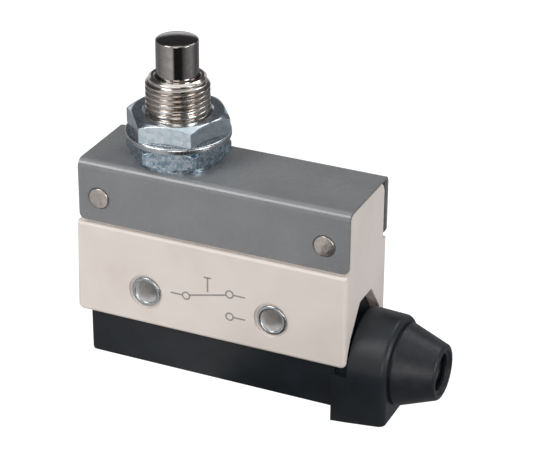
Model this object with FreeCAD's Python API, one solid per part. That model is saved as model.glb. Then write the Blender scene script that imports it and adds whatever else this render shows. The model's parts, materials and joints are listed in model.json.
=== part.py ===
import FreeCAD, Part
import math
import os

# Enclosed limit switch with a panel-mount plunger: one STEP file per piece.
# Millimetres. The origin is midway between the two mounting holes, at half the
# thickness. +X points to the cable end, -Y to the front face, +Z along the plunger.

V = FreeCAD.Vector

# Overall layout
HALF = 9.3                 # half the thickness, at the two seating faces
HOLE_PITCH = 25.4
HOLE_R = 2.15
BUSH_X = -10.15            # plunger axis
GAP = 0.05                 # running or assembly clearance on a radius

# Housing
LEFT, RIGHT = -26.75, 27.2
LEFT_FOOT = -27.2          # the cableless end leans out a little towards the bottom
BOTTOM = -6.75
FOOT_R = 1.1               # rounding of the bottom corners
FRONT_ROUND, BACK_ROUND = 0.7, 0.3     # rounding around the two broad faces
SHOULDER_R = 2.6           # rounding of the neck under the cover's bends
LEDGE = 11.8               # top of the full-thickness part
NECK_HALF = 8.4            # half thickness under the metal cover
NECK_BACK = 7.8            # the neck stands clear of the cover's back flap
NECK_LEFT = -26.0          # the cable end is flush from bottom to top
COVER_TOP = 24.36
SHEET = 0.6
HOUSING_TOP = COVER_TOP - SHEET
ROOM_HALF = 6.3            # contact chamber
ROOM_END = 23.6
ROOM_SHOULDER = 15.0       # the chamber is shorter above this height
ROOM_SHORT_END = 19.0
DECK_LOW, DECK_TOP = 4.0, 5.6
LID_LOW, LID_TOP = 19.8, 21.4
LID_STEP = 0.6
WIRING_HALF = 7.3          # terminal chamber
BOSS_R = 4.25
SLEEVE_R, RIM_R, RIM_DEPTH = 2.75, 2.95, 0.45
RECESS_R = 3.5

# Metal cover and its rivets
COVER_LEFT, COVER_RIGHT = -26.2, 27.4
COVER_HALF = 9.1
FLAP_LOW = 12.45
BEND_R = 1.5
RIVET_X = (-22.05, 22.65)
RIVET_Z = 17.25
RIVET_R, RIVET_HEAD_R = 1.5, 1.95

# Threaded bush, M12 x 1
THREAD_R, PITCH = 5.9, 1.0
THREAD_DEPTH = 0.61
BUSH_TOP, THREAD_TOP, THREAD_LOW = 40.5, 39.8, 24.8
FLANGE_R, FLANGE_LOW = 7.0, 22.3
GUIDE_R = 3.95
SPRING_BORE_R, SHOULDER_Z = 4.7, 35.0
SEAL_Z, SEAL_TUBE_R = 37.7, 0.45

# Nuts and panel washer
NUT_FLATS = 17.0
NUT_BORE_R = THREAD_R + GAP
NUT_CHAMFER_R = 8.3
LOWER_NUT_LOW, LOWER_NUT_TOP = 25.2, 28.95
NUT_FACE_R = 7.9
WASHER_TOP = 30.05
WASHER_R = 9.75
UPPER_NUT_TOP = 33.75
LOWER_NUT_TURN, UPPER_NUT_TURN = 15.0, 10.0

# Plunger, pin and springs
PLUNGER_R, PLUNGER_TOP = 3.9, 47.75
DOME_R = 15.0
COLLAR_R, COLLAR_LOW = 4.6, 33.9
SKIRT_R, SKIRT_LOW = 3.5, 29.6
CORE_R, CORE_TOP = 2.7, 44.0
KEEPER_H = 0.5
PIN_R, PIN_HEAD_R, PIN_HEAD_H = 1.2, 2.6, 1.2
SEAT_LOW, SEAT_R = LID_TOP, 4.6
WIRE_R = 0.3

# Snap-action contacts
BLADE_X0, BLADE_X1 = -21.5, 18.6
BLADE_LOW, BLADE_T = 12.0, 0.4
BLADE_HALF = 3.0
PIVOT_X, PIVOT_R = -20.6, 0.45
CONTACT_X, CONTACT_R = 16.5, 1.6
NC_FACE, NO_FACE = 13.1, 10.1
PIN_TIP = 12.5
PAD_LOW, PAD_HALF = 2.8, 3.0
STRIP = 0.9
STRIP_X = (-23.3, 3.6, 22.4)       # left face of each terminal strip's upright
EAR_IN, EAR_OUT = 3.3, 3.9         # the pivot shelf's two ears
SCREW_X = (-20.3, 0.0, 20.3)
SCREW_R, SCREW_HEAD_R = 1.6, 2.9

# Terminal cover, cable boot
TRAY_LEFT, TRAY_HALF, TRAY_LOW = -25.15, 8.3, -15.45
BLOCK_LEFT, BLOCK_RIGHT = 24.5, 34.8
BLOCK_HALF, BLOCK_LOW = 9.2, -18.0
BLOCK_RISE = 0.9           # the block's underside rises by this towards the boot
BLOCK_FLOOR = -15.6
NOTCH_IN = 7.6
HOOD_END_HALF = 8.9        # the hood narrows towards the boot
ARCH_LEFT, ARCH_Z = 27.5, -8.4     # the block under the arch reaches its centre's height
TONGUE_LEFT, TONGUE_T, TONGUE_GAP = 24.3, 1.0, 0.15
WALL = 1.5
END_WALL = 2.0
HOOD_ROUND = 1.2
NECK_R = 6.0
BOOT_BASE_R, BOOT_TIP_R, BOOT_TIP = 7.85, 5.1, 42.7
CABLE_R = 3.5


def box(x0, x1, y0, y1, z0, z1):
    return Part.makeBox(x1 - x0, y1 - y0, z1 - z0, V(x0, y0, z0))


def slab(x0, x1, half, z0, z1):
    """A box centred on the middle plane."""
    return box(x0, x1, -half, half, z0, z1)


def rod_z(x, r, z0, z1):
    return Part.makeCylinder(r, z1 - z0, V(x, 0, z0), V(0, 0, 1))


def rod_y(x, z, r, y0, y1):
    return Part.makeCylinder(r, y1 - y0, V(x, y0, z), V(0, 1, 0))


def rod_x(z, r, x0, x1):
    return Part.makeCylinder(r, x1 - x0, V(x0, 0, z), V(1, 0, 0))


def ring_z(x, r_out, r_in, z0, z1):
    return rod_z(x, r_out, z0, z1).cut(rod_z(x, r_in, z0, z1))


def turned_z(x, outline):
    """A solid of revolution about the vertical axis at x, from (radius, z) points."""
    wire = Part.makePolygon([V(x + r, 0, z) for r, z in outline + outline[:1]])
    return Part.Face(wire).revolve(V(x, 0, 0), V(0, 0, 1), 360)


def turned_x(z, outline):
    """A solid of revolution about the X-parallel axis at z, from (x, radius) points."""
    wire = Part.makePolygon([V(x, 0, z + r) for x, r in outline + outline[:1]])
    return Part.Face(wire).revolve(V(0, 0, z), V(1, 0, 0), 360)


def prism_x(points, x0, x1):
    """(y, z) points pushed along X."""
    wire = Part.makePolygon([V(x0, y, z) for y, z in points + points[:1]])
    return Part.Face(wire).extrude(V(x1 - x0, 0, 0))


def prism_y(points, half):
    """(x, z) points pushed along Y, centred on the middle plane."""
    wire = Part.makePolygon([V(x, -half, z) for x, z in points + points[:1]])
    return Part.Face(wire).extrude(V(0, 2 * half, 0))


def round_edges(shape, radius, wanted):
    """Fillet the edges whose bounding box satisfies wanted."""
    edges = [e for e in shape.Edges if wanted(e.BoundBox)]
    return shape.makeFillet(radius, edges)


def along_y(b):
    return b.YLength > 1 and b.XLength < 1e-6 and b.ZLength < 1e-6


def along_z(b):
    return b.ZLength > 1 and b.XLength < 1e-6 and b.YLength < 1e-6


def along_x(b):
    return b.XLength > 1 and b.YLength < 1e-6 and b.ZLength < 1e-6


def coil(x, radius, z0, z1, turns, wire_r):
    """A closed helical spring: one wire of round section, its ends at z0 and z1."""
    height = z1 - z0 - 2 * wire_r
    helix = Part.makeHelix(height / turns, height, radius)
    helix.translate(V(x, 0, z0 + wire_r))
    section = Part.Wire(Part.makeCircle(wire_r, V(x + radius, 0, z0 + wire_r), V(0, 1, 0)))
    return Part.Wire(helix).makePipeShell([section], True, True)


# ---------------------------------------------------------------- housing

def housing_outside():
    lower = prism_y([(LEFT_FOOT, BOTTOM), (RIGHT, BOTTOM), (RIGHT, LEDGE), (LEFT, LEDGE)], HALF)
    lower = round_edges(lower, FOOT_R, lambda b: along_y(b) and b.ZMax < BOTTOM + 0.1)
    for y, radius in ((-HALF, FRONT_ROUND), (HALF, BACK_ROUND)):
        lower = round_edges(lower, radius, lambda b: abs(b.YMin - y) < 1e-6 and b.YLength < 1e-6)
    neck = box(NECK_LEFT, RIGHT, -NECK_HALF, NECK_BACK, LEDGE - 1, HOUSING_TOP)
    neck = round_edges(neck, SHOULDER_R, lambda b: along_x(b) and b.ZMin > HOUSING_TOP - 0.1)
    return lower.fuse(neck).removeSplitter()


def contact_room():
    low = slab(-ROOM_END, ROOM_END, ROOM_HALF, DECK_TOP, ROOM_SHOULDER)
    high = slab(-ROOM_SHORT_END, ROOM_SHORT_END, ROOM_HALF, ROOM_SHOULDER - 1, LID_LOW)
    step = slab(-ROOM_SHORT_END - LID_STEP, ROOM_SHORT_END + LID_STEP,
                ROOM_HALF + LID_STEP, LID_LOW, HOUSING_TOP + 1)
    pocket = rod_z(BUSH_X, FLANGE_R + 0.3, LID_TOP, HOUSING_TOP + 1)
    return low.fuse([high, step, pocket])


def wiring_room():
    """The terminal chamber below the deck, with the two mounting bosses left standing."""
    room = slab(-ROOM_END, ROOM_END, WIRING_HALF, BOTTOM - 1, DECK_LOW)
    for side in (-1, 1):
        room = room.cut(rod_y(side * HOLE_PITCH / 2, 0, BOSS_R, -HALF, HALF))
    return room


def opening_shape(x0, x1, gap):
    """The window in the end wall, wide at the bottom and narrow at the deck, drawn in by gap."""
    half = [(2.7 - gap, DECK_LOW - gap), (6.9 - gap, -1.5), (8.2 - gap, -4.4), (8.2 - gap, BOTTOM - 1)]
    mirrored = [(-y, z) for y, z in reversed(half)]
    return prism_x(half + mirrored, x0, x1)


def snap_grooves(grow):
    """The four latches that hold the terminal cover; grow is the groove's clearance."""
    latches = []
    for side in (-1, 1):
        for x in (-18.0, 12.0):
            y = side * (WIRING_HALF - 0.2)
            reach = 0.5 + grow
            latches.append(box(x - grow, x + 6 + grow, min(y, y + side * reach),
                               max(y, y + side * reach), -5.9 - grow, -5.2 + grow))
    return latches


def terminal_slots():
    """Where the three terminal strips pass through the deck."""
    slots = []
    for x in STRIP_X:
        slots.append(slab(x - GAP, x + STRIP + GAP, PAD_HALF + GAP, DECK_LOW - 1, DECK_TOP + 1))
    for x in SCREW_X:
        slots.append(rod_z(x, SCREW_R + 0.1, DECK_LOW - 1, DECK_TOP - 0.5))
    return slots


def housing():
    opening = opening_shape(ROOM_END - 1, RIGHT + 1, 0.0)
    body = housing_outside().cut([contact_room(), wiring_room(), opening])
    cuts = terminal_slots() + snap_grooves(0.1)
    for side in (-1, 1):
        x = side * HOLE_PITCH / 2
        cuts.append(rod_y(x, 0, SLEEVE_R + GAP, -HALF, HALF))
        cuts.append(rod_y(x, 0, RECESS_R, -HALF, RIM_DEPTH - HALF))
        cuts.append(rod_y(x, 0, RECESS_R, HALF - RIM_DEPTH, HALF))
    for x in RIVET_X:
        cuts.append(rod_y(x, RIVET_Z, RIVET_R + GAP, -HALF, HALF))
    return body.cut(cuts)


def mount_sleeve(x):
    """A drawn steel tube with a rolled rim at each face."""
    tube = rod_y(x, 0, SLEEVE_R, -HALF, HALF)
    for y0 in (-HALF, HALF - RIM_DEPTH):
        tube = tube.fuse(rod_y(x, 0, RIM_R, y0, y0 + RIM_DEPTH))
    tube = tube.cut(rod_y(x, 0, HOLE_R, -HALF, HALF)).removeSplitter()
    return round_edges(tube, 0.2, lambda b: b.YLength < 1e-6 and abs(abs(b.YMin) - HALF) < 1e-6)


# ---------------------------------------------------------------- metal cover

def top_cover():
    shell = slab(COVER_LEFT, COVER_RIGHT, COVER_HALF, FLAP_LOW, COVER_TOP)
    shell = round_edges(shell, BEND_R, lambda b: along_x(b) and b.ZMin > COVER_TOP - 0.1)
    inner = slab(COVER_LEFT - 1, COVER_RIGHT + 1, COVER_HALF - SHEET, FLAP_LOW - 1, HOUSING_TOP)
    inner = round_edges(inner, BEND_R - SHEET, lambda b: along_x(b) and b.ZMin > HOUSING_TOP - 0.1)
    shell = shell.cut(inner)
    corners = lambda b: b.ZMax < FLAP_LOW + 0.01 and b.XLength < 1e-6 and 0.1 < b.YLength < 1
    shell = round_edges(shell, 1.2, corners)
    cuts = [rod_z(BUSH_X, THREAD_R + 0.1, HOUSING_TOP - 1, COVER_TOP + 1)]
    for x in RIVET_X:
        cuts.append(rod_y(x, RIVET_Z, RIVET_R + GAP, -HALF, HALF))
    return shell.cut(cuts)


def cover_rivets():
    """Two solid rivets through the cover's flaps and the housing."""
    rivets = []
    for x in RIVET_X:
        body = rod_y(x, RIVET_Z, RIVET_R, -COVER_HALF, COVER_HALF)
        for y0 in (-HALF, COVER_HALF):
            body = body.fuse(rod_y(x, RIVET_Z, RIVET_HEAD_R, y0, y0 + HALF - COVER_HALF))
        body = body.removeSplitter()
        faces = lambda b: b.YLength < 1e-6 and abs(abs(b.YMin) - HALF) < 1e-6
        rivets.append(round_edges(body, 0.12, faces))
    return Part.Compound(rivets)


# ---------------------------------------------------------------- bush, nuts, washer

def thread_outline():
    """(radius, z) points up the thread: one ridge per pitch, 60 degree flanks."""
    points = []
    root = THREAD_R - THREAD_DEPTH
    steps = ((0.0, root), (0.22, root), (0.5, THREAD_R), (0.66, THREAD_R), (0.94, root))
    ridges = round((THREAD_TOP - THREAD_LOW) / PITCH)
    for i in range(ridges):
        for share, r in steps:
            points.append((r, THREAD_LOW + (i + share) * PITCH))
    points.append((root, THREAD_LOW + ridges * PITCH))
    return points


def threaded_bush():
    plain = THREAD_R - 0.1
    outside = [(FLANGE_R, FLANGE_LOW), (FLANGE_R, HOUSING_TOP), (plain, HOUSING_TOP),
               (plain, THREAD_LOW)]
    outside += thread_outline()
    mouth = THREAD_R - THREAD_DEPTH
    outside += [(mouth, BUSH_TOP - 0.4), (mouth - 0.5, BUSH_TOP)]
    lip = SEAL_TUBE_R + GAP
    seal_r = GUIDE_R + 2 * SEAL_TUBE_R
    inside = [(GUIDE_R + 0.3, BUSH_TOP), (GUIDE_R, BUSH_TOP - 0.4),
              (GUIDE_R, SEAL_Z + lip), (seal_r, SEAL_Z + lip),
              (seal_r, SEAL_Z - lip), (GUIDE_R, SEAL_Z - lip), (GUIDE_R, SHOULDER_Z),
              (SPRING_BORE_R, SHOULDER_Z), (SPRING_BORE_R, FLANGE_LOW)]
    return turned_z(BUSH_X, outside + inside)


def plunger_seal():
    """An O-ring in the bush's groove, just clear of the plunger."""
    middle = PLUNGER_R + 0.02 + SEAL_TUBE_R
    return Part.makeTorus(middle, SEAL_TUBE_R, V(BUSH_X, 0, SEAL_Z), V(0, 0, 1))


def bush_gasket():
    return ring_z(BUSH_X, FLANGE_R, SPRING_BORE_R + 0.2, LID_TOP, FLANGE_LOW)


def hex_nut(z0, z1, turn, chamfer_low):
    """A chamfered hexagon nut; its bore runs clear of the thread's crests."""
    corner = NUT_FLATS / 2 / math.cos(math.radians(30))
    angles = [math.radians(turn + 60 * i) for i in range(6)]
    corners = [V(BUSH_X + corner * math.cos(a), corner * math.sin(a), z0) for a in angles]
    nut = Part.Face(Part.makePolygon(corners + corners[:1])).extrude(V(0, 0, z1 - z0))
    drop = (corner + 0.5 - NUT_CHAMFER_R) * math.tan(math.radians(30))
    outline = [(0, z0), (0, z1), (NUT_CHAMFER_R, z1), (corner + 0.5, z1 - drop)]
    if chamfer_low:
        outline += [(corner + 0.5, z0 + drop), (NUT_CHAMFER_R, z0)]
    else:
        outline += [(corner + 0.5, z0)]
    nut = nut.common(turned_z(BUSH_X, outline))
    sink = 0.5
    bore = [(0, z0), (NUT_BORE_R + sink, z0), (NUT_BORE_R, z0 + sink), (NUT_BORE_R, z1 - sink),
            (NUT_BORE_R + sink, z1), (0, z1)]
    return nut.cut(turned_z(BUSH_X, bore))


def lower_nut():
    """The jam nut on the cover, with a round bearing face under it."""
    nut = hex_nut(LOWER_NUT_LOW, LOWER_NUT_TOP, LOWER_NUT_TURN, True)
    face = ring_z(BUSH_X, NUT_FACE_R, NUT_BORE_R + 0.5, COVER_TOP, LOWER_NUT_LOW)
    return nut.fuse(face).removeSplitter()


def upper_nut():
    return hex_nut(WASHER_TOP, UPPER_NUT_TOP, UPPER_NUT_TURN, False)


def panel_washer():
    washer = ring_z(BUSH_X, WASHER_R, THREAD_R + 0.3, LOWER_NUT_TOP, WASHER_TOP)
    return round_edges(washer, 0.2, lambda b: b.ZLength < 1e-6 and b.XLength > 2 * WASHER_R - 0.1)


# ---------------------------------------------------------------- plunger and pin

def plunger():
    dome = Part.makeSphere(DOME_R, V(BUSH_X, 0, PLUNGER_TOP - DOME_R))
    body = rod_z(BUSH_X, PLUNGER_R, COLLAR_LOW, PLUNGER_TOP).common(dome)
    body = body.fuse([rod_z(BUSH_X, COLLAR_R, COLLAR_LOW, SHOULDER_Z),
                      rod_z(BUSH_X, SKIRT_R, SKIRT_LOW, COLLAR_LOW)])
    body = body.cut([rod_z(BUSH_X, CORE_R, SKIRT_LOW, CORE_TOP),
                     rod_z(BUSH_X, CORE_R + 0.2, SKIRT_LOW, SKIRT_LOW + KEEPER_H)])
    return body.removeSplitter()


def pin_keeper():
    """The ring pressed into the plunger's mouth, which keeps the pin's head in."""
    return ring_z(BUSH_X, CORE_R + 0.2, PIN_R + 0.2, SKIRT_LOW, SKIRT_LOW + KEEPER_H)


def inner_pin():
    head_low = SKIRT_LOW + KEEPER_H + 0.1
    tip = Part.makeSphere(PIN_R, V(BUSH_X, 0, PIN_TIP + PIN_R))
    shank = rod_z(BUSH_X, PIN_R, PIN_TIP + PIN_R, head_low)
    head = rod_z(BUSH_X, PIN_HEAD_R, head_low, head_low + PIN_HEAD_H)
    return tip.fuse([shank, head]).removeSplitter()


def overtravel_spring():
    low = SKIRT_LOW + KEEPER_H + 0.1 + PIN_HEAD_H
    return coil(BUSH_X, CORE_R - 0.15 - WIRE_R, low + 0.02, CORE_TOP - 0.02, 7, WIRE_R)


def return_spring():
    return coil(BUSH_X, SKIRT_R + 0.25 + WIRE_R, FLANGE_LOW + 0.02, COLLAR_LOW - 0.02, 6, WIRE_R)


def spring_seat():
    return ring_z(BUSH_X, SEAT_R, PIN_R + 0.15, SEAT_LOW, FLANGE_LOW)


def chamber_lid():
    """The insulating lid of the contact chamber, with the pin's guide under it."""
    end = ROOM_SHORT_END + LID_STEP - GAP
    plate = slab(-end, end, ROOM_HALF + LID_STEP - GAP, LID_LOW, LID_TOP)
    guide = rod_z(BUSH_X, 2.6, LID_LOW - 4, LID_LOW)
    stiffeners = [box(-4, 17, y - 0.5, y + 0.5, LID_LOW - 1.2, LID_LOW) for y in (-3.5, 3.5)]
    return plate.fuse([guide] + stiffeners).cut(rod_z(BUSH_X, PIN_R + GAP, LID_LOW - 5, LID_TOP + 1))


# ---------------------------------------------------------------- contacts

def snap_blade():
    """The moving blade: a frame with a bowed tongue in its middle and a rolled pivot at its heel."""
    top = BLADE_LOW + BLADE_T
    frame = slab(BLADE_X0, BLADE_X1, BLADE_HALF, BLADE_LOW, top)
    frame = frame.fuse(rod_y(PIVOT_X, BLADE_LOW + BLADE_T / 2, PIVOT_R, -BLADE_HALF, BLADE_HALF))
    window = slab(-7.5, 12.0, 1.7, BLADE_LOW - 1, top + 1)
    frame = frame.cut([window, rod_z(CONTACT_X, 0.9, BLADE_LOW - 1, top + 1)])
    span, rise = 16.0, 2.2
    arc_r = (span ** 2 / 4 + rise ** 2) / (2 * rise)
    centre_z = top + rise - arc_r
    bow = rod_y(12.0 - span / 2, centre_z, arc_r, -1.2, 1.2)
    bow = bow.cut(rod_y(12.0 - span / 2, centre_z, arc_r - 0.3, -1.2, 1.2))
    bow = bow.common(box(12.0 - span, 12.4, -1.2, 1.2, BLADE_LOW, top + 4))
    return frame.fuse(bow).removeSplitter()


def moving_contact():
    top = BLADE_LOW + BLADE_T
    rivet = rod_z(CONTACT_X, CONTACT_R, BLADE_LOW - 0.6, BLADE_LOW)
    upper = rod_z(CONTACT_X, CONTACT_R, top, top + 0.6)
    rivet = rivet.fuse([upper, rod_z(CONTACT_X, 0.9, BLADE_LOW, top)])
    ends = lambda b: b.ZLength < 1e-6 and (b.ZMin < BLADE_LOW - 0.5 or b.ZMin > top + 0.5)
    return round_edges(rivet.removeSplitter(), 0.15, ends)


def pad(x0, x1, screw_x):
    plate = slab(x0, x1, PAD_HALF, PAD_LOW, DECK_LOW)
    return plate.cut(rod_z(screw_x, SCREW_R + GAP, PAD_LOW - 1, DECK_LOW + 1))


def common_terminal():
    """Pad, upright and the notched shelf that the blade's heel pivots in."""
    x = STRIP_X[0]
    upright = slab(x, x + STRIP, PAD_HALF, PAD_LOW, BLADE_LOW + 1.4)
    shelf = slab(x, -17.8, PAD_HALF, BLADE_LOW - 1.2, BLADE_LOW - 0.3)
    cradle = slab(-21.9, -19.0, EAR_OUT, BLADE_LOW - 1.2, BLADE_LOW + 1.4)
    cradle = cradle.cut(slab(-23, -18, EAR_IN, BLADE_LOW - 0.3, BLADE_LOW + 2))
    return pad(x, -17.3, SCREW_X[0]).fuse([upright, shelf, cradle]).removeSplitter()


def nc_terminal():
    """The upper fixed contact's strip: pad, upright and arm over the blade's end."""
    x = STRIP_X[2]
    low = NC_FACE + 0.7
    upright = slab(x, x + STRIP, PAD_HALF, PAD_LOW, low + STRIP)
    arm = slab(CONTACT_X - 2.4, x + STRIP, 2.2, low, low + STRIP)
    return pad(17.3, x + STRIP, SCREW_X[2]).fuse([upright, arm]).removeSplitter()


def no_terminal():
    """The lower fixed contact's strip: pad, upright and arm under the blade's end."""
    x = STRIP_X[1]
    top = NO_FACE - 0.7
    upright = slab(x, x + STRIP, PAD_HALF, PAD_LOW, top)
    arm = slab(x, CONTACT_X + 2.4, 2.2, top - STRIP, top)
    return pad(-3.6, x + STRIP, SCREW_X[1]).fuse([upright, arm]).removeSplitter()


def fixed_contact(z0, z1, crown_low):
    button = rod_z(CONTACT_X, CONTACT_R + 0.2, z0, z1)
    face = z0 if crown_low else z1
    return round_edges(button, 0.15, lambda b: b.ZLength < 1e-6 and abs(b.ZMin - face) < 1e-6)


def nc_contact():
    return fixed_contact(NC_FACE, NC_FACE + 0.7, True)


def no_contact():
    return fixed_contact(NO_FACE - 0.7, NO_FACE, False)


def terminal_washers():
    """Square cup washers that clamp the cable's cores."""
    rings = []
    for x in SCREW_X:
        plate = box(x - 2.8, x + 2.8, -2.8, 2.8, PAD_LOW - 0.9, PAD_LOW - 0.02)
        rings.append(plate.cut(rod_z(x, SCREW_R + 0.15, 0, PAD_LOW)))
    return Part.Compound(rings)


def terminal_screws():
    """Three slotted pan-head screws, driven up into the pads."""
    screws = []
    top = PAD_LOW - 0.92
    for x in SCREW_X:
        head = rod_z(x, SCREW_HEAD_R, top - 1.8, top)
        head = round_edges(head, 0.6, lambda b: b.ZLength < 1e-6 and b.ZMin < top - 1)
        slot = box(x - 3, x + 3, -0.35, 0.35, top - 1.8, top - 0.9)
        screws.append(head.cut(slot).fuse(rod_z(x, SCREW_R, top, DECK_TOP - 0.8)).removeSplitter())
    return Part.Compound(screws)


# ---------------------------------------------------------------- terminal cover, boot

def arch_outline(x, half):
    """An inverted U across the X axis: a half round over straight sides."""
    top = Part.Arc(V(x, -half, ARCH_Z), V(x, 0, ARCH_Z + half), V(x, half, ARCH_Z)).toShape()
    feet = [V(x, half, ARCH_Z), V(x, half, BLOCK_LOW), V(x, -half, BLOCK_LOW), V(x, -half, ARCH_Z)]
    return Part.Wire([top] + Part.makePolygon(feet).Edges)


def cable_hood():
    """The round-topped end of the cover, which narrows a little towards the boot."""
    ends = [arch_outline(ARCH_LEFT, BLOCK_HALF), arch_outline(BLOCK_RIGHT, HOOD_END_HALF)]
    hood = Part.makeLoft(ends, True, True)
    face = lambda b: abs(b.XMin - BLOCK_RIGHT) < 1e-6 and b.XLength < 1e-6 and b.ZMax > BLOCK_LOW + 1
    return round_edges(hood, HOOD_ROUND, face)


def under_block():
    """The wedge of air that makes the block's underside slope."""
    points = [(BLOCK_LEFT, BLOCK_LOW), (BLOCK_RIGHT, BLOCK_LOW), (BLOCK_RIGHT, BLOCK_LOW + BLOCK_RISE)]
    return prism_y(points, BLOCK_HALF + 1)


def finger_notches():
    """The two pockets over the block's shoulders, for prising the cover off."""
    notches = []
    for side in (-1, 1):
        ends = sorted((side * NOTCH_IN, side * (BLOCK_HALF + 1)))
        notches.append(box(BLOCK_LEFT + 0.4, ARCH_LEFT, ends[0], ends[1], ARCH_Z, BOTTOM + 1))
    return notches


def tongue():
    """The plate on the cover that fills the end wall's window above the cable."""
    plate = opening_shape(TONGUE_LEFT, TONGUE_LEFT + TONGUE_T, TONGUE_GAP)
    plate = plate.common(slab(TONGUE_LEFT, RIGHT, NOTCH_IN, BOTTOM - 1, DECK_LOW))
    return plate.cut(rod_x(ARCH_Z, CABLE_R + 0.8, TONGUE_LEFT - 1, RIGHT))


def terminal_cover():
    """The black tray under the terminals, with the block that carries the cable boot."""
    tray = slab(TRAY_LEFT, BLOCK_LEFT + 3, TRAY_HALF, TRAY_LOW, BOTTOM)
    corners = lambda b: b.XMax < TRAY_LEFT + 0.1 and (along_z(b) or b.ZMax < TRAY_LOW + 0.1)
    tray = round_edges(tray, 1.0, corners)
    block = slab(BLOCK_LEFT, ARCH_LEFT, BLOCK_HALF, BLOCK_LOW, ARCH_Z)
    skirt_left, skirt_right = -ROOM_END + 0.15, ROOM_END
    skirt = slab(skirt_left, skirt_right, WIRING_HALF - 0.15, BOTTOM, BOTTOM + 2.0)
    body = tray.fuse([block, cable_hood(), skirt]).cut(under_block()).removeSplitter()
    inner = WIRING_HALF - 1.2
    wall_in = BLOCK_RIGHT - END_WALL
    hollow = HOOD_END_HALF - WALL
    inside = [slab(skirt_left + 1.2, BLOCK_LEFT + 1, inner, TRAY_LOW + WALL, BOTTOM + 3),
              slab(BLOCK_LEFT, wall_in, hollow, TRAY_LOW + WALL, ARCH_Z),
              rod_x(ARCH_Z, hollow, BLOCK_LEFT, wall_in),
              slab(BLOCK_LEFT + WALL, wall_in, hollow, BLOCK_FLOOR, ARCH_Z),
              rod_x(ARCH_Z, NECK_R + GAP, wall_in - 1, BLOCK_RIGHT + 1)]
    body = body.cut(inside + finger_notches())
    return body.fuse(snap_grooves(0.0) + [tongue()]).cut(gasket_bed(GAP)).removeSplitter()


def gasket_bed(grow):
    """The groove in the tray's rim: a U in plan, open at the cable end."""
    low = BOTTOM - 0.7 - grow
    outer = slab(TRAY_LEFT + 0.4 - grow, 24.0 + grow, TRAY_HALF - 0.4 + grow, low, BOTTOM)
    inner = slab(TRAY_LEFT + 1.0 + grow, 26.0, WIRING_HALF - grow, low - 1, BOTTOM + 1)
    return outer.cut(inner)


def cover_gasket():
    return gasket_bed(0.0)


def cable_boot():
    """A rubber cone with a neck and an inner lip that hold it in the end wall."""
    wall_in = BLOCK_RIGHT - END_WALL
    lip = wall_in - 1.4
    outline = [(lip, CABLE_R), (lip, NECK_R + 1), (wall_in, NECK_R + 1), (wall_in, NECK_R),
               (BLOCK_RIGHT, NECK_R), (BLOCK_RIGHT, BOOT_BASE_R), (BOOT_TIP - 0.6, BOOT_TIP_R),
               (BOOT_TIP - 0.2, BOOT_TIP_R - 0.2), (BOOT_TIP, BOOT_TIP_R - 0.6), (BOOT_TIP, CABLE_R)]
    return turned_x(ARCH_Z, outline)


PIECES = {
    "housing": housing,
    "mount_sleeve_left": lambda: mount_sleeve(-HOLE_PITCH / 2),
    "mount_sleeve_right": lambda: mount_sleeve(HOLE_PITCH / 2),
    "top_cover": top_cover,
    "cover_rivets": cover_rivets,
    "threaded_bush": threaded_bush,
    "plunger_seal": plunger_seal,
    "bush_gasket": bush_gasket,
    "lower_nut": lower_nut,
    "panel_washer": panel_washer,
    "upper_nut": upper_nut,
    "plunger": plunger,
    "pin_keeper": pin_keeper,
    "inner_pin": inner_pin,
    "overtravel_spring": overtravel_spring,
    "return_spring": return_spring,
    "spring_seat": spring_seat,
    "chamber_lid": chamber_lid,
    "snap_blade": snap_blade,
    "moving_contact": moving_contact,
    "common_terminal": common_terminal,
    "nc_terminal": nc_terminal,
    "nc_contact": nc_contact,
    "no_terminal": no_terminal,
    "no_contact": no_contact,
    "terminal_washers": terminal_washers,
    "terminal_screws": terminal_screws,
    "terminal_cover": terminal_cover,
    "cover_gasket": cover_gasket,
    "cable_boot": cable_boot,
}


def main():
    os.makedirs("parts", exist_ok=True)
    for name, make in PIECES.items():
        shape = make()
        shape.exportStep("parts/" + name + ".step")
        b = shape.BoundBox
        print(f"{name:20s} solids {len(shape.Solids)} valid {shape.isValid()} volume {shape.Volume:9.2f} "
              f"x {b.XMin:.2f}..{b.XMax:.2f} y {b.YMin:.2f}..{b.YMax:.2f} z {b.ZMin:.2f}..{b.ZMax:.2f}")


main()
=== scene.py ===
"""Looks of the enclosed limit switch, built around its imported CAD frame. Units are metres."""
import json
import logging
import math
from contextlib import contextmanager
from dataclasses import dataclass
from enum import Enum
from typing import Callable, Iterator, Optional, Sequence

import bpy
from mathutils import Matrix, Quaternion, Vector

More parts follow.
